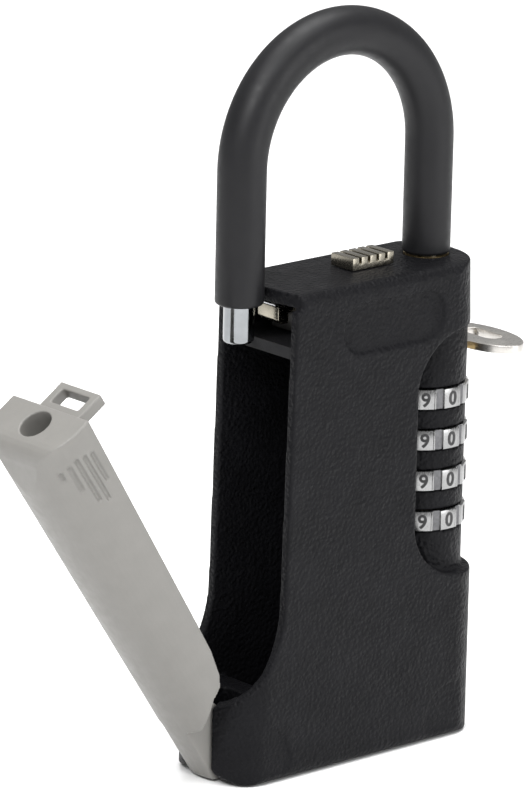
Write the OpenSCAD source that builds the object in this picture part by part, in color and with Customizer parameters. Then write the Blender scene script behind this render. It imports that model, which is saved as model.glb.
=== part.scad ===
// Portable key lock box: a die-cast case that hangs by its shackle, with a bottom-hinged
// end door, a four-wheel combination lock and an override key.
// Frame: X along the wide face, -Y is the front face, +Z up. Origin at the middle of the
// flat base, half-way between the two shackle legs. Millimetres.
// The door is drawn open, against its stop. Everything else is drawn locked.

/* [Case] */
// Height of the case
body_h = 122; // [121:0.5:124]
// Thickness of the case, front to back
body_t = 29; // [28.8:0.1:30]
// Distance from the case centre to the widest point of its round right end
right_reach = 42.6; // [42.4:0.1:43]
// Depth of the rounded ends, seen from above
nose_depth = 12; // [11:0.5:13]
// Thickness of the long walls
wall_t = 2.5; // [2.3:0.1:2.6]
// Thickness of the top wall
top_t = 3.5; // [3.5:0.1:3.8]

/* [Shackle] */
// Distance between the axes of the two legs
leg_spacing = 61; // [60.5:0.1:61.5]
// Diameter of the soft sleeve
sleeve_d = 12; // [11:0.1:12]
// Diameter of the steel core
core_d = 7.6; // [7:0.1:7.8]
// Height of the centre of the arch above the base
arch_z = 151.2; // [145:0.2:160]
// How far the shackle lifts
shackle_lift = 10; // [9:0.5:10]

/* [Door] */
// How far the door stands open as drawn, degrees
door_open = 34; // [30:0.5:34]
// Thickness of the door, front to back
door_t = 28; // [27:0.1:28.4]
// Thickness of the door's shell
door_wall = 2.2; // [2:0.1:2.4]

/* [Combination wheels] */
// Radius of the wheels
wheel_r = 12; // [11.8:0.05:12.1]
// Height of one wheel
wheel_h = 5.1; // [4.9:0.1:5.2]
// Distance from one wheel to the next
wheel_pitch = 10.45; // [10.4:0.05:10.5]
// Number of digits on a wheel
digits = 10; // [10]

/* [Override lock] */
// Radius of the plug
plug_r = 3.25; // [3.1:0.05:3.3]
// Length of the key's oval bow
bow_length = 28; // [22:1:28]

/* [Hidden] */
$fn = 96;
// a cut runs past the face it opens by this much
eps = 0.5;

// --- places shared by several pieces
half_t = body_t / 2;
in_y = half_t - wall_t;
leg_x = leg_spacing / 2;
ceiling_z = body_h - top_t;
// split line between case and door: its top, and where the sweep to the cheeks begins
split_top_x = -24.3;
split_low_x = -26.1;
split_low_z = 45;
sweep_r = 30;
nose_x = -41.6;
floor_x = -22;
block_top_z = 19.8;
base_r = 6.5;
// the sweep ends where it meets the small rounding at the top of the nose
nose_r = 2.6;
sweep_turn = acos((nose_x + nose_r - split_low_x + sweep_r) / (sweep_r + nose_r));
nose_top_z = split_low_z - (sweep_r + nose_r) * sin(sweep_turn);
fillet_r = 2.5;
// clear gap between bodies that only pass each other
gap = 0.3;

// the right end leans in above this height, by this angle
lean_z = 48;
lean = 2.4;
// finger scallop round the wheels
scallop_r = 16.2;
scallop_z = [58.6, 89.4];
// index dots, below the middle of each wheel
dot_drop = 3.7;
// screws of the partition
screw_z = [12, 39];
screw_y = 8.5;

// wheels
axis_x = 30;
top_wheel_z = 87.4;
slot_r = wheel_r + 0.35;
slot_h = wheel_h + 0.5;
neck_r = 11.3;
bay_r = 9.3;
bay_y = 11.2;
spindle_r = 2.5;
spindle_z = [44.2, 92.2];
clip_z = 48.9;
hub_r = 8.4;
hub_h = 2.2;
gate_w = 3.4;
gate_floor_r = 3.7;

// inner partition
part_x = 8;
part_t = 1.6;
shelf_z = 106;
shelf_t = 3;

// slider and latch
slide_travel = 4;
latch_rise = 2.4;
ramp_slope = latch_rise / slide_travel;
pocket_h = 1.6;
button_x = [2.6, 16];
bolt_x = [-21.2, -17.8];
bolt_z = [112.4, 116.8];
arm_x = -14.5;
arm_end_x = -8.5;
arm_z = 114.9;
comb_x = [10.6, 13];
rivet_x = [6.2, 9];

// hinge and door
hinge_x = -33.5;
hinge_z = 5;
hinge_pin_r = 1.5;
hinge_pin_y = 12;
bush_wall = 0.9;
knuckle_r = 4.7;
door_top = 116.8;
toe_x = -leg_x;
door_nose_x = -41.5;
door_nose_depth = 12;
// beside the solid end block the nose leans in by this much, and its top is rounded
door_lean_in = 1.6;
door_edge_r = 5;
block_h = 12;
block_y = 11.2;
block_x = -24.9;
toe_hole_r = 4.1;
tongue_y = 4.4;
lug_end_x = -15.5;
lug_y = 7.3;
lug_t = 3;
lug_z = 111.3;

// shackle
sleeve_end_z = 118.5;
toe_tip_z = 109;
leg_bottom_z = 103.3;
ring_h = 2;
ring_r = 5.2;
ring_z = 107;
groove_r = 3;
bush_r = 5.6;

// override lock
lock_z = 97;
cyl_r = 4.5;
cyl_x = [25.5, 40.8];
blade_w = 5.2;
blade_t = 2;
bow_w = 14.4;
bow_x = 49.8;
ring_hole = [5, 12];

// --- small helpers
module yslab(h) { rotate([90, 0, 0]) linear_extrude(h, center = true) children(); }
module xcyl(r, x0, x1) { translate([x0, 0, 0]) rotate([0, 90, 0]) cylinder(r = r, h = x1 - x0); }
module block(x, y, z) { translate([x[0], y[0], z[0]]) cube([x[1] - x[0], y[1] - y[0], z[1] - z[0]]); }
module door_place() {
    translate([hinge_x, 0, hinge_z]) rotate([0, -door_open, 0]) translate([-hinge_x, 0, -hinge_z]) children();
}
module ycyl(x, z, r, y0, y1) { translate([x, y1, z]) rotate([90, 0, 0]) cylinder(r = r, h = y1 - y0); }

// front view of the whole case: split line, sweep and cheeks on the left
module case_outline() {
    corner = 4;
    polygon(concat(
        [[split_top_x, body_h]],
        [for (k = [0 : 15]) [split_low_x - sweep_r, split_low_z]
            + sweep_r * [cos(sweep_turn * k / 15), -sin(sweep_turn * k / 15)]],
        [for (k = [1 : 4]) [nose_x + nose_r, nose_top_z]
            + nose_r * [-cos(sweep_turn * (4 - k) / 4), sin(sweep_turn * (4 - k) / 4)]],
        [for (a = [180 : 7.5 : 270]) [nose_x + base_r, base_r] + base_r * [cos(a), sin(a)]],
        [for (a = [270 : 15 : 360]) [right_reach - corner, corner] + corner * [cos(a), sin(a)]],
        [[right_reach, body_h]]));
}

// the case from above: straight sides and elliptical ends
module plan_outline(inset = 0) {
    left = nose_x + nose_depth;
    right = right_reach - nose_depth;
    depth = nose_depth - inset;
    b = half_t - inset;
    polygon(concat(
        [for (a = [-90 : 6 : 90]) [right + depth * cos(a), b * sin(a)]],
        [for (a = [90 : 6 : 270]) [left + depth * cos(a), b * sin(a)]]));
}

module case_solid() {
    intersection() {
        yslab(body_t) case_outline();
        linear_extrude(body_h) plan_outline();
        translate([right_reach, 0, lean_z]) rotate([0, -lean, 0]) translate([-right_reach, 0, -80])
            linear_extrude(180) plan_outline_long();
        translate([-60, 0, 0]) rotate([90, 0, 90]) linear_extrude(120) side_outline();
    }
}

module plan_outline_long() {
    right = right_reach - nose_depth;
    wide = half_t + 0.02;
    polygon(concat([[-90, -wide]],
        [for (a = [-90 : 6 : 90]) [right + nose_depth * cos(a), wide * sin(a)]],
        [[-90, wide]]));
}

// end view: a rectangle with rounded long edges
module side_outline() {
    for (s = [-1, 1]) for (z = [fillet_r, body_h - fillet_r])
        translate([s * (half_t - fillet_r), z]) circle(fillet_r);
    translate([-half_t + fillet_r, 0]) square([body_t - 2 * fillet_r, body_h]);
    translate([-half_t, fillet_r]) square([body_t, body_h - 2 * fillet_r]);
}

// finger scallop round the wheels: a D in the front view. It cuts in from both faces at a
// slant, down to a round neck that the wheels stand out of.
module wheel_scallop() {
    left = axis_x + 2.1 - scallop_r;
    foot = [axis_x - 8.2, 7.8];
    difference() {
        yslab(body_t + 4) union() {
            for (z = scallop_z) translate([left + scallop_r, z]) circle(scallop_r);
            translate([left, scallop_z[0]]) square([scallop_r, scallop_z[1] - scallop_z[0]]);
            translate([left + scallop_r, scallop_z[0] - scallop_r])
                square([40, scallop_z[1] - scallop_z[0] + 2 * scallop_r]);
        }
        translate([axis_x, 0, 0]) cylinder(r = neck_r, h = body_h);
        linear_extrude(body_h) polygon([[0, -half_t - 4], [left, -half_t - 4], [left, -half_t],
            [foot[0], -foot[1]], [axis_x, 0], [foot[0], foot[1]],
            [left, half_t], [left, half_t + 4], [0, half_t + 4]]);
    }
}

// --- case
module housing() {
    color([0.17, 0.17, 0.19]) difference() {
        case_solid();
        // storage room, open to the left, with a solid block between the cheeks
        intersection() {
            linear_extrude(body_h) plan_outline(wall_t);
            union() {
                block([-60, part_x + part_t + gap], [-half_t, half_t], [block_top_z, shelf_z + shelf_t]);
                block([floor_x, part_x + part_t + gap], [-half_t, half_t], [3, block_top_z + eps]);
                // room for latch and slider above the shelf
                block([-60, 20], [-half_t, half_t], [shelf_z + shelf_t - eps, ceiling_z]);
            }
        }
        // slot for the door's tongue
        block([-60, hinge_x + knuckle_r + 0.5], [-tongue_y - gap, tongue_y + gap], [-eps, 40]);
        // pocket in the top wall for the raised latch and its spring
        block([bolt_x[0] - 0.3, arm_end_x + 0.6], [-4.3, 4.3], [ceiling_z - eps, ceiling_z + pocket_h]);
        // lock bay behind the partition
        block([part_x, 17], [-bay_y, bay_y], [44, shelf_z - 1]);
        block([part_x, 19.8], [-8.4, 8.4], [48, shelf_z - 1]);
        block([part_x, 22], [-3, 3], [48, 90.6]);
        block([part_x, 20], [-bay_y, bay_y], [shelf_z - 1.5, ceiling_z]);
        translate([axis_x, 0, 48]) cylinder(r = bay_r, h = 42.6);
        for (i = [0 : 3]) wheel_slot(wheel_z(i));
        translate([axis_x, 0, spindle_z[0] - 0.2])
            cylinder(r = spindle_r + 0.03, h = spindle_z[1] - spindle_z[0] + 0.3);
        wheel_scallop();
        // slot for the button's stem
        block([4.6, 17.3], [-2.7, 2.7], [ceiling_z - eps, body_h + eps]);
        // bore for the long leg's bush and the room below it for the retaining ring
        translate([leg_x, 0, leg_bottom_z - 0.5]) cylinder(r = bush_r, h = 30);
        // bore for the lock cylinder, and room for the cam behind it
        translate([0, 0, lock_z]) xcyl(cyl_r + 0.03, axis_x - 8, 50);
        translate([0, 0, lock_z]) xcyl(5.7, axis_x - 9, cyl_x[0]);
        // pill-shaped recess near the top of both faces
        for (s = [-1, 1]) translate([0, s * half_t, 0]) yslab(1.6) pill_outline();
        // shallow round recesses over the hinge and at the lower right corner
        for (s = [-1, 1]) translate([0, s * half_t, 0]) yslab(0.7) corner_rounds();
        // index dots under the wheels
        for (s = [-1, 1]) for (i = [0 : 3])
            translate([axis_x, s * (neck_r - 0.4), wheel_z(i) - dot_drop]) rotate([s * -90, 0, 0])
                cylinder(r = 0.6, h = 4);
        // pivot bore in the cheeks
        ycyl(hinge_x, hinge_z, hinge_pin_r, -hinge_pin_y - 0.3, hinge_pin_y + 0.3);
        // sweep of the sleeve's end as the shackle swivels
        translate([leg_x, 0, sleeve_end_z - gap]) difference() {
            cylinder(r = 90, h = 20, $fn = 180);
            translate([0, 0, -1]) cylinder(r = leg_spacing - sleeve_d / 2 - 0.4, h = 30, $fn = 180);
        }
        // screw holes for the partition, and room behind the code lever
        for (z = screw_z) for (s = [-1, 1]) translate([part_x, s * screw_y, z]) xcyl(0.9, 0, 6);
        block([part_x, part_x + 5], [-3, 3], [20, 33]);
    }
}

// two recesses, cut off by the edges of the case
module corner_rounds() {
    for (c = [[hinge_x, 10.3], [leg_x, 9.5]]) translate([c[0], hinge_z]) difference() {
        circle(c[1]);
        translate([-20, -30 - hinge_z]) square([40, 32]);
    }
}

module pill_outline() {
    r = 6.4;
    for (x = [-2.6, 17.9]) translate([x, 110.8]) circle(r);
    translate([-2.6, 110.8 - r]) square([20.5, 2 * r]);
}

module wheel_slot(z) {
    translate([axis_x, 0, z - slot_h / 2]) cylinder(r = slot_r, h = slot_h);
}

module inner_partition() {
    color([0.20, 0.20, 0.22]) difference() {
        union() {
            block([part_x, part_x + part_t], [-in_y + 0.1, in_y - 0.1], [3.1, shelf_z + shelf_t - 0.1]);
            block([-24, part_x + 0.1], [-in_y + 0.1, in_y - 0.1], [shelf_z, shelf_z + shelf_t - 0.1]);
        }
        block([part_x - 1, part_x + 3], [-1.6, 1.6], [22, 30]);
        for (z = screw_z) for (s = [-1, 1]) translate([part_x, s * screw_y, z]) xcyl(0.95, -1, 3);
    }
}

module partition_screws() {
    color([0.7, 0.7, 0.7]) for (z = screw_z) for (s = [-1, 1]) translate([part_x, s * screw_y, z]) {
        xcyl(1.8, -1, -0.02);
        xcyl(0.87, -0.5, 5.5);
    }
}

module hinge_pin() {
    color([0.75, 0.75, 0.76]) ycyl(hinge_x, hinge_z, hinge_pin_r - 0.03, -hinge_pin_y, hinge_pin_y);
}

// --- door, drawn closed and turned open by door_place()
module door_plan(inset) {
    // seen from above: side walls, a soft crease, and a crowned nose
    b = door_t / 2 - inset;
    depth = door_nose_depth - inset;
    nose = door_nose_x + door_nose_depth;
    polygon(concat(
        [[-10, -b]],
        [for (t = [-90 : -6 : -270]) [nose + depth * cos(t), b * sin(t)]],
        [[-10, b]]));
}

// front view of the closed door's walls, down to the sweep over the cheeks
module door_outline() {
    r = door_edge_r;
    polygon(concat(
        [[block_x, door_top], [-27.6, 50.8], [-28.1, 41.1], [-29.5, 34], [-31, 31.2], [-33.8, 29.2],
            [-36.5, 25], [-38.7, 21.6], [door_nose_x, 20.8], [door_nose_x, door_top - block_h]],
        [for (a = [180 : -15 : 90])
            [door_nose_x + door_lean_in + r, door_top - r] + r * [cos(a), sin(a)]]));
}

// the narrow tongue between the cheeks, its lower corner cut level with the base when open
module tongue_outline() {
    polygon(concat(
        [[door_nose_x, 30]],
        [[door_nose_x, hinge_z - 0.2]],
        [for (a = [-90 - door_open : 12 : 2]) [hinge_x, hinge_z] + knuckle_r * [cos(a), sin(a)]],
        [[hinge_x + knuckle_r - 1, 20], [hinge_x + 1, 30]]));
}

module door_shell() {
    color([0.66, 0.66, 0.64]) door_place() difference() {
        union() {
            intersection() {
                yslab(door_t) door_outline();
                linear_extrude(130) door_plan(0);
            }
            intersection() {
                yslab(2 * tongue_y) tongue_outline();
                linear_extrude(60) door_plan(0);
            }
            // end block with the toe's hole
            block([toe_x, block_x], [-block_y, block_y], [door_top - block_h, door_top]);
            // catch lug
            block([block_x - 2, lug_end_x], [-lug_y, lug_y], [lug_z, lug_z + lug_t]);
        }
        // hollow of the channel
        intersection() {
            block([-60, -10], [-20, 20], [32, door_top - block_h]);
            linear_extrude(130) door_plan(door_wall);
        }
        // hole for the toe, and the window that the latch drops into
        translate([toe_x, 0, door_top - block_h - 1]) cylinder(r = toe_hole_r, h = 20);
        block([bolt_x[0] - 0.5, bolt_x[1] + 0.5], [-5, 5], [lug_z - 1, lug_z + 5]);
        // ribbed thumb grips
        for (i = [0 : 4]) grip_groove(i);
        ycyl(hinge_x, hinge_z, hinge_pin_r + bush_wall, -20, 20);
    }
}

// half-thickness of the door where its plan is elliptical
function door_half(x) = door_t / 2 * sqrt(1 - pow(1 - (x - door_nose_x) / door_nose_depth, 2));

// the grip is a leaf of five lengthwise grooves: round at the top, its tip between two of them
grip_x = [-37, -28.4];
grip_z = [94, 111];
grip_tip = 2.6;
module grip_groove(i) {
    x = grip_x[0] + (grip_x[1] - grip_x[0]) * i / 4;
    face = x > door_nose_x + door_nose_depth ? door_t / 2 : door_half(x);
    low = grip_z[0] + (i < grip_tip ? 5 : 4.5) * abs(i - grip_tip);
    high = grip_z[1] - 0.7 * abs(i - 2);
    for (s = [-1, 1]) 
        translate([x, s * (face + 0.4), (low + high) / 2]) cube([1.1, 2.2, high - low], center = true);
}

module door_hinge_bush() {
    color([0.75, 0.68, 0.45]) door_place() difference() {
        ycyl(hinge_x, hinge_z, hinge_pin_r + bush_wall - 0.02, -tongue_y + 0.1, tongue_y - 0.1);
        ycyl(hinge_x, hinge_z, hinge_pin_r + 0.03, -20, 20);
    }
}

// --- shackle
module leg_arch(r) {
    translate([0, 0, arch_z]) rotate([90, 0, 0]) rotate_extrude(angle = 180) translate([leg_x, 0]) circle(r);
}

module shackle_core() {
    color([0.8, 0.8, 0.82]) difference() {
        union() {
            leg_arch(core_d / 2);
            translate([-leg_x, 0, toe_tip_z + 1]) cylinder(r = core_d / 2, h = arch_z - toe_tip_z - 1);
            translate([-leg_x, 0, toe_tip_z]) cylinder(r1 = core_d / 2 - 1, r2 = core_d / 2, h = 1);
            translate([leg_x, 0, leg_bottom_z]) cylinder(r = core_d / 2, h = arch_z - leg_bottom_z);
        }
        translate([leg_x, 0, ring_z - 0.02]) difference() {
            cylinder(r = core_d, h = ring_h + 0.04);
            translate([0, 0, -1]) cylinder(r = groove_r, h = ring_h + 2);
        }
    }
}

module shackle_sleeve() {
    color([0.22, 0.22, 0.23]) difference() {
        union() {
            leg_arch(sleeve_d / 2);
            translate([-leg_x, 0, sleeve_end_z]) cylinder(r = sleeve_d / 2, h = arch_z - sleeve_end_z);
            translate([leg_x, 0, body_h + gap]) cylinder(r = sleeve_d / 2, h = arch_z - body_h - gap);
        }
        leg_arch(core_d / 2 + 0.01);
        for (x = [-leg_x, leg_x]) translate([x, 0, 100]) cylinder(r = core_d / 2 + 0.01, h = arch_z - 100);
    }
}

module shackle_retainer() {
    color([0.55, 0.55, 0.56]) translate([leg_x, 0, ring_z + 0.03]) difference() {
        cylinder(r = ring_r, h = ring_h - 0.06);
        translate([0, 0, -1]) cylinder(r = groove_r + 0.05, h = 6);
    }
}

module shackle_bush() {
    color([0.78, 0.7, 0.45]) translate([leg_x, 0, 0]) difference() {
        translate([0, 0, ring_z + ring_h + shackle_lift + 0.2])
            cylinder(r = bush_r - 0.02, h = body_h - ring_z - ring_h - shackle_lift - 0.2);
        cylinder(r = core_d / 2 + 0.05, h = 140);
    }
}

// --- slider, latch
module slide_button() {
    color([0.72, 0.69, 0.6]) difference() {
        union() {
            block(button_x, [-4, 4], [body_h + 0.2, body_h + 1.6]);
            // five ribs across the top
            for (i = [0 : 4]) block([button_x[0] + i * 2.85, button_x[0] + i * 2.85 + 2], [-4, 4],
                [body_h + 1.5, body_h + 3.3]);
            block([5, 13], [-2.4, 2.4], [ceiling_z - 0.3, body_h + 0.3]);
        }
        for (x = rivet_x) translate([x, 0, ceiling_z - 1]) cylinder(r = 0.8, h = 3);
    }
}

module slider_frame() {
    plate_z = ceiling_z - 2.3;
    color([0.6, 0.6, 0.6]) difference() {
        union() {
            // plate under the top wall, fork and ramp round the latch arm
            block([-6.5, 15], [-5.9, 5.9], [plate_z, ceiling_z - 0.3]);
            for (s = [-1, 1]) block([arm_x - 0.1, -6.4], [s * 5 - 0.9, s * 5 + 0.9],
                [shelf_z + shelf_t + 0.3, ceiling_z - 0.3]);
            yslab(10) polygon([[arm_x - 0.1, shelf_z + shelf_t + 0.3], [arm_x - 0.1, arm_z - 0.08],
                [arm_end_x + 0.4, arm_z - 0.08 - ramp_slope * (arm_end_x + 0.5 - arm_x)],
                [arm_end_x + 0.4, shelf_z + shelf_t + 0.3]]);
            // comb that reaches down behind the wheels
            block(comb_x, [-4.5, 4.5], [51, plate_z + 0.5]);
            for (i = [0 : 3]) comb_tooth(i);
        }
        for (x = rivet_x) translate([x, 0, plate_z - 1]) cylinder(r = 0.8, h = 5);
    }
}

// at full travel a tooth ends just outside its hub
module comb_tooth(i) {
    z = hub_z(i) + hub_h / 2;
    block([comb_x[1] - 0.1, axis_x - hub_r - gap - slide_travel], [-1.3, 1.3], [z - 0.8, z + 0.8]);
}

module button_rivets() {
    color([0.75, 0.75, 0.75]) for (x = rivet_x) translate([x, 0, ceiling_z - 2.6]) {
        cylinder(r = 0.78, h = 4);
        cylinder(r = 1.4, h = 0.3);
    }
}

module latch_bolt() {
    color([0.72, 0.69, 0.62]) yslab(7.6) polygon([
        [bolt_x[0], bolt_z[0] + 1.2], [bolt_x[0] + 1.2, bolt_z[0]], [bolt_x[1], bolt_z[0]],
        [bolt_x[1], arm_z], [arm_x, arm_z],
        [arm_end_x, arm_z - ramp_slope * (arm_end_x - arm_x)],
        [arm_end_x, bolt_z[1]], [bolt_x[0], bolt_z[1]]]);
}

module latch_spring() {
    // folded leaf between the latch and the top wall
    low = bolt_z[1] + 0.1;
    high = ceiling_z + pocket_h - 0.1;
    t = 0.3;
    fold_x = -10.6;
    color([0.7, 0.7, 0.7]) yslab(5) polygon([
        [bolt_x[0], low], [fold_x - 0.4, low], [fold_x, low + 0.5],
        [bolt_x[0] + 0.8, high], [bolt_x[0], high], [bolt_x[0], high - t],
        [fold_x - 1, low + t], [bolt_x[0], low + t]]);
}

// --- combination wheels, numbered from the top
function wheel_z(i) = top_wheel_z - i * wheel_pitch;
function hub_z(i) = wheel_z(i) - wheel_h / 2 - hub_h - 0.4;

module dial_wheel(i) {
    color([0.78, 0.78, 0.78]) translate([axis_x, 0, wheel_z(i) - wheel_h / 2]) difference() {
        cylinder(r = wheel_r, h = wheel_h);
        translate([0, 0, -1]) cylinder(r = 4.6, h = wheel_h + 2);
        // grip grooves between the digits
        for (k = [0 : digits - 1]) for (g = [-1, 0, 1])
            rotate([0, 0, -90 + (k + 0.5) * 360 / digits + g * 5])
                translate([wheel_r, 0, -1]) cylinder(r = 0.4, h = wheel_h + 2, $fn = 16);
    }
}

module wheel_hub(i) {
    color([0.7, 0.62, 0.35]) translate([axis_x, 0, hub_z(i)]) difference() {
        union() {
            cylinder(r = hub_r, h = hub_h);
            cylinder(r = 4.55, h = hub_h + 0.4 + wheel_h);
        }
        translate([0, 0, -1]) cylinder(r = spindle_r + 0.05, h = 20);
        // gate that the comb's tooth enters when the code is set
        block([-hub_r - 1, -gate_floor_r], [-gate_w / 2, gate_w / 2], [-0.1, hub_h + 0.1]);
    }
}

module wheel_spindle() {
    color([0.7, 0.7, 0.72]) translate([axis_x, 0, 0]) difference() {
        translate([0, 0, spindle_z[0]]) cylinder(r = spindle_r, h = spindle_z[1] - spindle_z[0]);
        translate([0, 0, clip_z - 0.05]) difference() {
            cylinder(r = 4, h = 0.8);
            translate([0, 0, -1]) cylinder(r = 1.9, h = 3);
        }
    }
}

module wheel_spacers() {
    color([0.6, 0.6, 0.6]) for (i = [0 : 3]) {
        low = i < 3 ? wheel_z(i + 1) + wheel_h / 2 : clip_z + 0.7;
        translate([axis_x, 0, low + 0.05]) difference() {
            cylinder(r = 4, h = hub_z(i) - low - 0.1);
            translate([0, 0, -1]) cylinder(r = spindle_r + 0.04, h = 9);
        }
    }
}

module spindle_clip() {
    color([0.5, 0.5, 0.5]) translate([axis_x, 0, clip_z]) difference() {
        cylinder(r = 4.4, h = 0.7);
        translate([0, 0, -1]) cylinder(r = 1.95, h = 3);
        block([-6, 0], [-1.9, 1.9], [-1, 3]);
    }
}

module detent_spring() {
    // leaf spring on two feet, with a rounded bump that clicks into each wheel's grooves
    y = [5.4, 8.2];
    color([0.65, 0.65, 0.65]) {
        block([part_x + part_t + 0.1, 17.4], y, [49, 49.5]);
        block([part_x + part_t + 0.1, 17.4], y, [91.5, 92]);
        block([17, 17.4], y, [49, 92]);
        for (i = [0 : 3]) translate([0, 6.8, wheel_z(i)]) xcyl(0.9, 17.2, 19.4);
    }
}

// --- override lock and key
module cylinder_body() {
    color([0.72, 0.66, 0.42]) translate([0, 0, lock_z]) difference() {
        xcyl(cyl_r, cyl_x[0], cyl_x[1]);
        xcyl(plug_r + 0.05, cyl_x[0] - 1, cyl_x[1] + 1);
    }
}

module cylinder_clip() {
    color([0.6, 0.6, 0.6]) translate([0, 0, lock_z]) difference() {
        xcyl(cyl_r + 1, cyl_x[0] - 0.8, cyl_x[0] - 0.02);
        xcyl(plug_r + 0.15, cyl_x[0] - 3, cyl_x[0] + 1);
        block([cyl_x[0] - 3, cyl_x[0] + 1], [-plug_r, plug_r], [0, 20]);
    }
}

module lock_plug() {
    color([0.76, 0.7, 0.45]) translate([0, 0, lock_z]) difference() {
        xcyl(plug_r, cyl_x[0] - 1, cyl_x[1] - 0.1);
        block([cyl_x[0] + 1.5, cyl_x[1] + 1], [-blade_w / 2 - 0.1, blade_w / 2 + 0.1],
            [-blade_t / 2 - 0.1, blade_t / 2 + 0.1]);
        xcyl(1.1, cyl_x[0] - 3, cyl_x[0] + 1);
    }
}

module lock_cam() {
    color([0.6, 0.6, 0.6]) translate([cyl_x[0] - 2.05, 0, lock_z]) rotate([0, 90, 0]) difference() {
        union() {
            cylinder(r = 3.2, h = 1);
            translate([-5.2, -1.8, 0]) cube([5.2, 3.6, 1]);
        }
        translate([0, 0, -1]) cylinder(r = 1.15, h = 3);
    }
}

module cam_screw() {
    color([0.5, 0.5, 0.5]) translate([0, 0, lock_z]) {
        xcyl(1.07, cyl_x[0] - 2.3, cyl_x[0] + 0.9);
        xcyl(2, cyl_x[0] - 2.9, cyl_x[0] - 2.08);
    }
}

module key_oval(w, l, h) {
    r = w / 2;
    for (s = [-1, 1]) translate([0, s * (l / 2 - r), 0]) cylinder(r = r, h = h);
    translate([-r, -(l / 2 - r), 0]) cube([w, l - w, h]);
}

module bow_outline() {
    polygon([for (a = [0 : 7.5 : 352.5]) [bow_w / 2 * cos(a), bow_length / 2 * sin(a)]]);
}

module override_key() {
    color([0.74, 0.73, 0.7]) translate([0, 0, lock_z - blade_t / 2]) difference() {
        union() {
            translate([bow_x, 0, 0]) linear_extrude(blade_t) bow_outline();
            block([cyl_x[0] + 2, bow_x - 4], [-blade_w / 2, blade_w / 2], [0, blade_t]);
        }
        // slotted hole for a ring
        translate([bow_x + 1, 0, -3]) key_oval(ring_hole[0], ring_hole[1], 9);
        // bitting along one edge of the blade
        for (i = [0 : 4]) translate([cyl_x[0] + 4 + i * 2.6, blade_w / 2 + 0.3, -3])
            cylinder(r = 0.8 + 0.2 * (i % 2), h = 9, $fn = 24);
    }
}

module code_change_lever() {
    color([0.8, 0.3, 0.2]) block([part_x - 1.4, part_x + part_t + 0.5], [-1.5, 1.5], [22.1, 26.4]);
}

housing();
inner_partition();
partition_screws();
hinge_pin();
shackle_bush();
wheel_spindle();
wheel_spacers();
spindle_clip();
detent_spring();
cylinder_body();
cylinder_clip();
latch_spring();
door_shell();
door_hinge_bush();
shackle_retainer();
shackle_core();
shackle_sleeve();
slide_button();
slider_frame();
button_rivets();
latch_bolt();
dial_wheel(0);  // dial_wheel_1
dial_wheel(1);  // dial_wheel_2
dial_wheel(2);  // dial_wheel_3
dial_wheel(3);  // dial_wheel_4
wheel_hub(0);  // wheel_hub_1
wheel_hub(1);  // wheel_hub_2
wheel_hub(2);  // wheel_hub_3
wheel_hub(3);  // wheel_hub_4
lock_plug();
lock_cam();
cam_screw();
override_key();
code_change_lever();
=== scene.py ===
"""A portable key lock box: remeshed castings, swept shackle, dial wheels with filled digits."""
import math

import bmesh
import bpy
from mathutils import Matrix, Vector


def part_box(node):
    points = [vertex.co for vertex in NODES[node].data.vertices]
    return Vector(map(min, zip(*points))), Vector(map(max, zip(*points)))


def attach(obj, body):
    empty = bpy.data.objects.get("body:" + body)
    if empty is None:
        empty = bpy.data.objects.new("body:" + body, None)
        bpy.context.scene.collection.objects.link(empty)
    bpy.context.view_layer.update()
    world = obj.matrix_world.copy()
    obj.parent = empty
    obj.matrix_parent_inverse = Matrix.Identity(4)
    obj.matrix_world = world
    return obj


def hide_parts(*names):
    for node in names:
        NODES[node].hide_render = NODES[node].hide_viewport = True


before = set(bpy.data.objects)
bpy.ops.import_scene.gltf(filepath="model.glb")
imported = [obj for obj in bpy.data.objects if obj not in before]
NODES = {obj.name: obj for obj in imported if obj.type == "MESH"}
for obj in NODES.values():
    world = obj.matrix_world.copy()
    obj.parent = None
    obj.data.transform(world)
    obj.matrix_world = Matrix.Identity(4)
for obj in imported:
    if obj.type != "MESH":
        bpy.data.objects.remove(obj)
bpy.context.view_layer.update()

MM = 0.001


# ---------- places, all read from the CAD frame ----------
def centre(node):
    low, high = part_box(node)
    return (low + high) / 2


def size(node):
    low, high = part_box(node)
    return high - low


SLEEVE_LOW, SLEEVE_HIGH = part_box("shackle_sleeve")
CORE_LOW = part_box("shackle_core")[0]
SLEEVE_R = size("shackle_sleeve").y / 2
CORE_R = size("shackle_core").y / 2
LEG_X = SLEEVE_HIGH.x - SLEEVE_R
ARCH_Z = SLEEVE_HIGH.z - SLEEVE_R - LEG_X
CASE_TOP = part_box("housing")[1].z
DIGITS = 10
WHEEL_COUNT = 4


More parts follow.
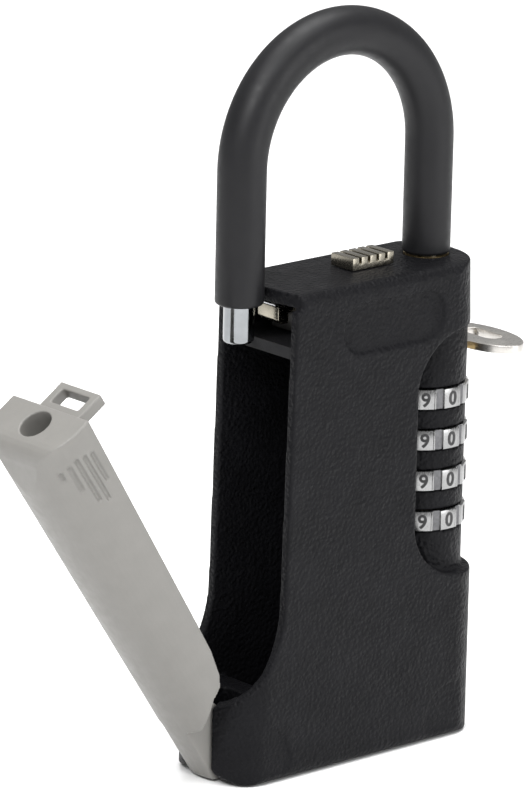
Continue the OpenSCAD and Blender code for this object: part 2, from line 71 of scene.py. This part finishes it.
# ---------- materials ----------
class Shader:
    """A Principled material with a few helpers for its nodes."""

    def __init__(self, name, colour, metallic, roughness, specular=0.5):
        self.material = bpy.data.materials.new(name)
        self.material.use_nodes = True
        self.tree = self.material.node_tree
        self.bsdf = self.tree.nodes["Principled BSDF"]
        self.bsdf.inputs["Metallic"].default_value = metallic
        self.bsdf.inputs["Roughness"].default_value = roughness
        self.bsdf.inputs["Base Color"].default_value = (*colour, 1)
        self.bsdf.inputs["Specular IOR Level"].default_value = specular
        self.place = self.tree.nodes.new("ShaderNodeTexCoord").outputs["Object"]

    def link(self, a, b):
        self.tree.links.new(a, b)

    def stretched(self, scale):
        node = self.tree.nodes.new("ShaderNodeMapping")
        node.inputs["Scale"].default_value = scale
        self.link(self.place, node.inputs["Vector"])
        return node.outputs["Vector"]

    def noise(self, grain, detail=3.0, vector=None):
        """Noise whose features are about grain metres across."""
        node = self.tree.nodes.new("ShaderNodeTexNoise")
        node.inputs["Scale"].default_value = 1 / grain
        node.inputs["Detail"].default_value = detail
        self.link(vector or self.place, node.inputs["Vector"])
        return node.outputs["Fac"]

    def cells(self, grain):
        node = self.tree.nodes.new("ShaderNodeTexVoronoi")
        node.feature = "SMOOTH_F1"
        node.inputs["Scale"].default_value = 1 / grain
        self.link(self.place, node.inputs["Vector"])
        return node.outputs["Distance"]

    def spread(self, value, low, high):
        """value, which is about 0.3 to 0.7, mapped to low..high."""
        node = self.tree.nodes.new("ShaderNodeMapRange")
        node.inputs["From Min"].default_value = 0.3
        node.inputs["From Max"].default_value = 0.7
        node.inputs["To Min"].default_value = low
        node.inputs["To Max"].default_value = high
        self.link(value, node.inputs["Value"])
        return node.outputs["Result"]

    def colours(self, value, dark, light):
        node = self.tree.nodes.new("ShaderNodeMix")
        node.data_type = "RGBA"
        node.inputs["A"].default_value = (*dark, 1)
        node.inputs["B"].default_value = (*light, 1)
        self.link(self.spread(value, 0, 1), node.inputs["Factor"])
        self.link(node.outputs["Result"], self.bsdf.inputs["Base Color"])

    def roughness(self, value, low, high):
        self.link(self.spread(value, low, high), self.bsdf.inputs["Roughness"])

    def bumps(self, *layers):
        """Each layer is (height value, depth in metres)."""
        normal = None
        for value, depth in layers:
            node = self.tree.nodes.new("ShaderNodeBump")
            node.inputs["Distance"].default_value = depth
            node.inputs["Strength"].default_value = 1.0
            self.link(value, node.inputs["Height"])
            if normal:
                self.link(normal, node.inputs["Normal"])
            normal = node.outputs["Normal"]
        self.link(normal, self.bsdf.inputs["Normal"])


def tint(colour, factor):
    return tuple(min(1.0, c * factor) for c in colour)


def coated_casting(name, colour, grain, depth, rough, drift, specular):
    """Textured coating on die-cast metal: pebbled grain, and a shade that drifts by the part drift."""
    s = Shader(name, colour, 0.0, rough, specular)
    s.colours(s.noise(grain * 14), tint(colour, 1 - drift), tint(colour, 1 + drift))
    s.roughness(s.noise(grain * 5, 5), rough - 0.06, rough + 0.08)
    s.bumps((s.cells(grain), depth), (s.noise(grain * 0.45, 4), depth * 0.45))
    return s.material


def soft_sleeve():
    colour = (0.009, 0.009, 0.010)
    s = Shader("soft_sleeve", colour, 0.0, 0.4, 0.2)
    s.colours(s.noise(9 * MM), tint(colour, 0.9), tint(colour, 1.12))
    s.roughness(s.noise(1.6 * MM, 5), 0.38, 0.5)
    s.bumps((s.noise(0.35 * MM, 4), 0.008 * MM), (s.noise(8 * MM), 0.03 * MM))
    return s.material


def plated(name, colour, rough, stretch=(1, 1, 1), depth=0.004):
    """Plated or machined metal with fine scratches along one direction."""
    s = Shader(name, colour, 1.0, rough)
    lines = s.noise(0.25 * MM, 4, s.stretched(stretch))
    s.colours(s.noise(4 * MM), tint(colour, 0.86), tint(colour, 1.06))
    s.roughness(lines, max(0.03, rough - 0.08), rough + 0.1)
    s.bumps((lines, depth * MM))
    return s.material


def filled_paint(name, colour):
    s = Shader(name, colour, 0.0, 0.55)
    s.colours(s.noise(0.8 * MM), tint(colour, 0.8), tint(colour, 1.3))
    s.roughness(s.noise(0.4 * MM), 0.45, 0.65)
    s.bumps((s.noise(0.3 * MM), 0.01 * MM))
    return s.material


CASE = coated_casting("case_coating", (0.006, 0.006, 0.007), 0.95 * MM, 0.4 * MM, 0.42, 0.2, 0.08)
INNER = coated_casting("inner_coating", (0.007, 0.007, 0.008), 0.5 * MM, 0.02 * MM, 0.6, 0.15, 0.2)
DOOR = coated_casting("door_coating", (0.178, 0.173, 0.162), 0.4 * MM, 0.008 * MM, 0.45, 0.03, 0.35)
SLEEVE = soft_sleeve()
CHROME = plated("bright_chrome", (0.26, 0.27, 0.28), 0.08, (1, 1, 0.1), 0.001)
NICKEL = plated("warm_nickel", (0.34, 0.315, 0.26), 0.22, (0.2, 1, 1), 0.003)
DIAL = plated("dial_nickel", (0.3, 0.3, 0.3), 0.24, (1, 1, 0.2), 0.002)
KEY = plated("key_nickel", (0.58, 0.56, 0.53), 0.32, (0.15, 1, 1), 0.004)
STEEL = plated("zinc_steel", (0.55, 0.55, 0.56), 0.36, (1, 0.2, 1), 0.004)
BLACKENED = plated("blackened_steel", (0.09, 0.088, 0.085), 0.4, (1, 0.2, 1), 0.004)
BRASS = plated("brass", (0.66, 0.49, 0.24), 0.3, (1, 1, 0.2), 0.003)
LEVER = filled_paint("lever_plastic", (0.4, 0.05, 0.03))
DIGIT_FILL = filled_paint("digit_fill", (0.015, 0.015, 0.016))
GROOVE = filled_paint("grip_groove", (0.1, 0.1, 0.105))


# ---------- building ----------
def add_object(name, mesh, materials, body, replaced=()):
    obj = bpy.data.objects.new(name, mesh)
    bpy.context.scene.collection.objects.link(obj)
    # clearing sends every face back to the first material, so an empty list is left alone
    if mesh.materials:
        mesh.materials.clear()
    for material in materials:
        mesh.materials.append(material)
    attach(obj, body)
    if replaced:
        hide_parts(*replaced)
    return obj


def apply_modifiers(obj):
    evaluated = obj.evaluated_get(bpy.context.evaluated_depsgraph_get())
    mesh = bpy.data.meshes.new_from_object(evaluated)
    obj.modifiers.clear()
    obj.data = mesh


def welded_copy(node):
    """The CAD node's mesh with its doubled points joined and its flat triangles merged."""
    mesh = NODES[node].data.copy()
    bm = bmesh.new()
    bm.from_mesh(mesh)
    bmesh.ops.remove_doubles(bm, verts=bm.verts, dist=0.002 * MM)
    bmesh.ops.dissolve_limit(bm, angle_limit=math.radians(0.5), verts=bm.verts, edges=bm.edges)
    bm.to_mesh(mesh)
    bm.free()
    mesh.name = node + "_finished"
    return mesh


def casting(node, body, material, voxel, rounds):
    """The CAD solid as a casting: every edge rounded over by remeshing and relaxing."""
    obj = add_object(node + "_cast", welded_copy(node), [material], body, [node])
    remesh = obj.modifiers.new("remesh", "REMESH")
    remesh.mode = "VOXEL"
    remesh.voxel_size = voxel
    smooth = obj.modifiers.new("relax", "SMOOTH")
    smooth.factor = 0.5
    smooth.iterations = rounds
    apply_modifiers(obj)
    obj.data.polygons.foreach_set("use_smooth", [True] * len(obj.data.polygons))
    return obj


def eased(node, body, material, edge):
    """The CAD solid with its sharp edges eased."""
    obj = add_object(node + "_eased", welded_copy(node), [material], body, [node])
    bevel = obj.modifiers.new("ease", "BEVEL")
    bevel.width = edge
    bevel.segments = 3
    bevel.limit_method = "ANGLE"
    bevel.angle_limit = math.radians(40)
    apply_modifiers(obj)
    obj.data.polygons.foreach_set("use_smooth", [True] * len(obj.data.polygons))
    obj.data.set_sharp_from_angle(angle=math.radians(35))
    return obj


def sweep(name, stations, material, body, replaced, sides=64):
    """A round bar through stations of (centre, direction, radius), closed at both ends."""
    bm = bmesh.new()
    rings = []
    for place, direction, radius in stations:
        side = Vector((0, 1, 0))
        other = direction.cross(side)
        turn = [2 * math.pi * k / sides for k in range(sides)]
        spokes = [math.cos(a) * side + math.sin(a) * other for a in turn]
        rings.append([bm.verts.new(place + radius * spoke) for spoke in spokes])
    for first, second in zip(rings, rings[1:]):
        for k in range(sides):
            bm.faces.new((first[k], first[(k + 1) % sides], second[(k + 1) % sides], second[k]))
    bm.faces.new(rings[0][::-1])
    bm.faces.new(rings[-1])
    bmesh.ops.recalc_face_normals(bm, faces=bm.faces)
    mesh = bpy.data.meshes.new(name)
    bm.to_mesh(mesh)
    bm.free()
    mesh.polygons.foreach_set("use_smooth", [True] * len(mesh.polygons))
    mesh.set_sharp_from_angle(angle=math.radians(40))
    return add_object(name, mesh, [material], body, replaced)


def rounded_end(x, z, radius, edge, steps=8):
    """Stations that round over the lower end of an upright bar, from the end upwards."""
    direction = Vector((0, 0, 1))
    stations = []
    for k in range(steps + 1):
        a = math.pi / 2 * k / steps
        height = z + edge * (1 - math.cos(a))
        stations.append((Vector((x, 0, height)), direction, radius - edge + edge * math.sin(a)))
    return stations


def arch_stations(radius, left_end, right_end, edge, steps=72):
    """From the short leg's end, over the arch, to the long leg's end."""
    stations = rounded_end(-LEG_X, left_end, radius, edge)
    for k in range(steps + 1):
        a = math.pi * (1 - k / steps)
        place = Vector((LEG_X * math.cos(a), 0, ARCH_Z + LEG_X * math.sin(a)))
        stations.append((place, Vector((math.sin(a), 0, -math.cos(a))), radius))
    last = rounded_end(LEG_X, right_end, radius, edge)[::-1]
    return stations + [(p, -d, r) for p, d, r in last]


def build_shackle():
    sweep("sleeve_swept", arch_stations(SLEEVE_R, SLEEVE_LOW.z, CASE_TOP + SLEEVE_GAP, BAR_EDGE),
          SLEEVE, "shackle", ["shackle_sleeve"])
    toe_z = lowest_near("shackle_core", -LEG_X, CORE_R * 1.1)
    sweep("core_swept", arch_stations(CORE_R, toe_z, CORE_LOW.z, BAR_EDGE),
          CHROME, "shackle", ["shackle_core"])


def lowest_near(node, x, reach):
    """Lowest point of a CAD node within reach of x."""
    return min(v.co.z for v in NODES[node].data.vertices if abs(v.co.x - x) < reach)


# ---------- dial wheels ----------
PITCH = 2 * math.pi / DIGITS
GROOVE_HALF = math.radians(5.5)
GROOVE_DEPTH = 0.5 * MM
RIB_HALF = math.radians(7.5)
PLATE_STEP = 0.12 * MM
DIGIT_HEIGHT = 3.7 * MM
DIGIT_LIFT = 0.02 * MM
DIGIT_THICKNESS = 0.3
WHEEL_BORE = 4.6 * MM
WHEEL_EDGE = 0.35 * MM
BAR_EDGE = 0.9 * MM
SLEEVE_GAP = 0.3 * MM


def rim_radius(angle, radius):
    """Radius of the rim at an angle: plates, and a groove between each two."""
    off = abs((angle / PITCH) % 1 - 0.5) * PITCH
    if off < GROOVE_HALF * 0.8:
        return radius - GROOVE_DEPTH
    if off < GROOVE_HALF:
        return radius - GROOVE_DEPTH * (GROOVE_HALF - off) / (GROOVE_HALF * 0.2)
    if off < RIB_HALF:
        return radius
    return radius - PLATE_STEP


def dial_mesh(name, axis, radius, low, high, steps=720):
    """A ring with eased edges, digit plates and painted grooves. Its slots are ring and groove."""
    ease = WHEEL_EDGE
    levels = [(low, ease), (low + ease * 0.3, ease * 0.3), (low + ease, 0), (high - ease, 0),
              (high - ease * 0.3, ease * 0.3), (high, ease)]
    bm = bmesh.new()
    rings = []
    angles = [2 * math.pi * k / steps for k in range(steps)]
    for z, inset in [(low, None)] + levels + [(high, None)]:
        ring = []
        for a in angles:
            r = WHEEL_BORE if inset is None else rim_radius(a, radius) - inset
            ring.append(bm.verts.new((axis.x + r * math.sin(a), axis.y - r * math.cos(a), z)))
        rings.append(ring)
    rings.append(rings[0])
    for level, (first, second) in enumerate(zip(rings, rings[1:])):
        for k in range(steps):
            nxt = (k + 1) % steps
            face = bm.faces.new((first[k], first[nxt], second[nxt], second[k]))
            middle = angles[k] + math.pi / steps
            off = abs((middle / PITCH) % 1 - 0.5) * PITCH
            face.material_index = 1 if 1 <= level <= 5 and off < GROOVE_HALF * 0.85 else 0
    bmesh.ops.recalc_face_normals(bm, faces=bm.faces)
    mesh = bpy.data.meshes.new(name)
    bm.to_mesh(mesh)
    bm.free()
    mesh.polygons.foreach_set("use_smooth", [True] * len(mesh.polygons))
    mesh.set_sharp_from_angle(angle=math.radians(25))
    return mesh


def digit_glyph(text, height):
    """One digit as a flat mesh, centred, in the XY plane, height metres tall."""
    curve = bpy.data.curves.new("glyph", "FONT")
    curve.body = text
    curve.align_x = "CENTER"
    curve.resolution_u = 6
    curve.offset = 0.022
    curve.extrude = 0.06
    obj = bpy.data.objects.new("glyph", curve)
    bpy.context.scene.collection.objects.link(obj)
    mesh = bpy.data.meshes.new_from_object(obj.evaluated_get(bpy.context.evaluated_depsgraph_get()))
    bpy.data.objects.remove(obj)
    xs = [v.co.x for v in mesh.vertices]
    ys = [v.co.y for v in mesh.vertices]
    middle = Vector(((min(xs) + max(xs)) / 2, (min(ys) + max(ys)) / 2, 0))
    factor = height / (max(ys) - min(ys))
    for v in mesh.vertices:
        v.co = (v.co - middle) * factor
    return mesh


def wrap_digits(name, axis, radius, middle_z, height):
    """All ten digits laid round the rim. 0 faces the front and the digits rise to the right."""
    bm = bmesh.new()
    for digit in range(DIGITS):
        glyph = digit_glyph(str(digit), height)
        for v in glyph.vertices:
            a = digit * PITCH + v.co.x / radius
            r = radius - PLATE_STEP + DIGIT_LIFT + v.co.z * DIGIT_THICKNESS
            v.co = Vector((axis.x + r * math.sin(a), axis.y - r * math.cos(a), middle_z + v.co.y))
        bm.from_mesh(glyph)
        bpy.data.meshes.remove(glyph)
    mesh = bpy.data.meshes.new(name)
    bm.to_mesh(mesh)
    bm.free()
    return mesh


def build_wheels():
    for n in range(1, WHEEL_COUNT + 1):
        node = f"dial_wheel_{n}"
        low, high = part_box(node)
        axis = centre(node)
        radius = (high.y - low.y) / 2
        body = f"wheel_{n}"
        ring = dial_mesh(node, axis, radius, low.z, high.z)
        add_object(f"dial_ring_{n}", ring, [DIAL, GROOVE], body, [node])
        digits = wrap_digits(f"digits_{n}", axis, radius, axis.z, DIGIT_HEIGHT)
        add_object(f"dial_digits_{n}", digits, [DIGIT_FILL], body)


# ---------- everything else ----------
def dress(material, *nodes):
    """A better material on CAD nodes whose shape stays."""
    for node in nodes:
        mesh = NODES[node].data
        mesh.materials.clear()
        mesh.materials.append(material)


def build_parts():
    casting("housing", "case", CASE, 0.42 * MM, 5)
    casting("door_shell", "door", DOOR, 0.3 * MM, 3)
    eased("slide_button", "slider", NICKEL, 0.28 * MM)
    eased("latch_bolt", "latch", NICKEL, 0.2 * MM)
    eased("override_key", "key", KEY, 0.3 * MM)
    eased("cylinder_body", "case", BRASS, 0.25 * MM)
    eased("lock_plug", "plug", BRASS, 0.15 * MM)
    dress(INNER, "inner_partition")
    dress(BRASS, "shackle_bush", "door_hinge_bush", *[f"wheel_hub_{n}" for n in range(1, WHEEL_COUNT + 1)])
    dress(STEEL, "partition_screws", "hinge_pin", "wheel_spindle", "wheel_spacers", "spindle_clip",
          "detent_spring", "cylinder_clip", "latch_spring", "shackle_retainer",
          "button_rivets", "lock_cam", "cam_screw")
    dress(BLACKENED, "slider_frame")
    dress(LEVER, "code_change_lever")


# ---------- stage ----------
def floor():
    half = 3.0
    mesh = bpy.data.meshes.new("floor")
    corners = [(-half, -half, 0), (half, -half, 0), (half, half, 0), (-half, half, 0)]
    mesh.from_pydata(corners, [], [(0, 1, 2, 3)])
    shade = Shader("floor", (0.9, 0.9, 0.9), 0.0, 0.7)
    shade.roughness(shade.noise(0.05), 0.65, 0.8)
    mesh.materials.append(shade.material)
    obj = bpy.data.objects.new("floor", mesh)
    bpy.context.scene.collection.objects.link(obj)
    obj.location.z = -0.3 * MM


def area_light(name, place, target, width, power):
    light = bpy.data.lights.new(name, "AREA")
    light.shape = "SQUARE"
    light.size = width
    light.energy = power
    obj = bpy.data.objects.new(name, light)
    bpy.context.scene.collection.objects.link(obj)
    obj.location = place
    obj.rotation_euler = (Vector(target) - Vector(place)).to_track_quat("-Z", "Y").to_euler()


def lighting():
    world = bpy.data.worlds.new("studio")
    bpy.context.scene.world = world
    world.use_nodes = True
    background = world.node_tree.nodes["Background"]
    background.inputs["Color"].default_value = (1, 1, 1, 1)
    background.inputs["Strength"].default_value = 0.4
    sun = bpy.data.lights.new("wide_top", "SUN")
    sun.energy = 2.2
    sun.angle = math.radians(70)
    wide_top = bpy.data.objects.new("wide_top", sun)
    wide_top.rotation_euler = (math.radians(12), math.radians(-10), 0)
    bpy.context.scene.collection.objects.link(wide_top)
    aim = (0, 0, 0.09)
    area_light("key_light", (-0.75, -0.35, 0.85), aim, 0.5, 9)
    area_light("top_light", (0.15, 0.1, 1.0), aim, 0.6, 7)
    area_light("front_light", (0.35, -0.95, 0.35), aim, 0.6, 5)


# camera: place in metres, then heading, tilt and roll in degrees, and focal length over frame height
CAMERA_PLACE = Vector((-0.9794, -1.0772, 0.5))
HEADING, TILT, ROLL = 41.62, 15.74, 1.30
FOCAL_OVER_HEIGHT = 7.784


def camera():
    heading, tilt, roll = (math.radians(v) for v in (HEADING, TILT, ROLL))
    ahead = Vector((math.sin(heading) * math.cos(tilt), math.cos(heading) * math.cos(tilt), -math.sin(tilt)))
    right = Vector((math.cos(heading), -math.sin(heading), 0))
    up = right.cross(ahead)
    right, up = right * math.cos(roll) + up * math.sin(roll), up * math.cos(roll) - right * math.sin(roll)
    data = bpy.data.cameras.new("camera")
    data.sensor_width = 36
    data.lens = 36 * FOCAL_OVER_HEIGHT
    data.clip_end = 20
    obj = bpy.data.objects.new("camera", data)
    bpy.context.scene.collection.objects.link(obj)
    basis = Matrix((right, up, -ahead)).transposed().to_4x4()
    basis.translation = CAMERA_PLACE
    obj.matrix_world = basis
    bpy.context.scene.camera = obj
    bpy.context.scene.view_settings.view_transform = "Standard"


build_parts()
build_shackle()
build_wheels()
floor()
lighting()
camera()
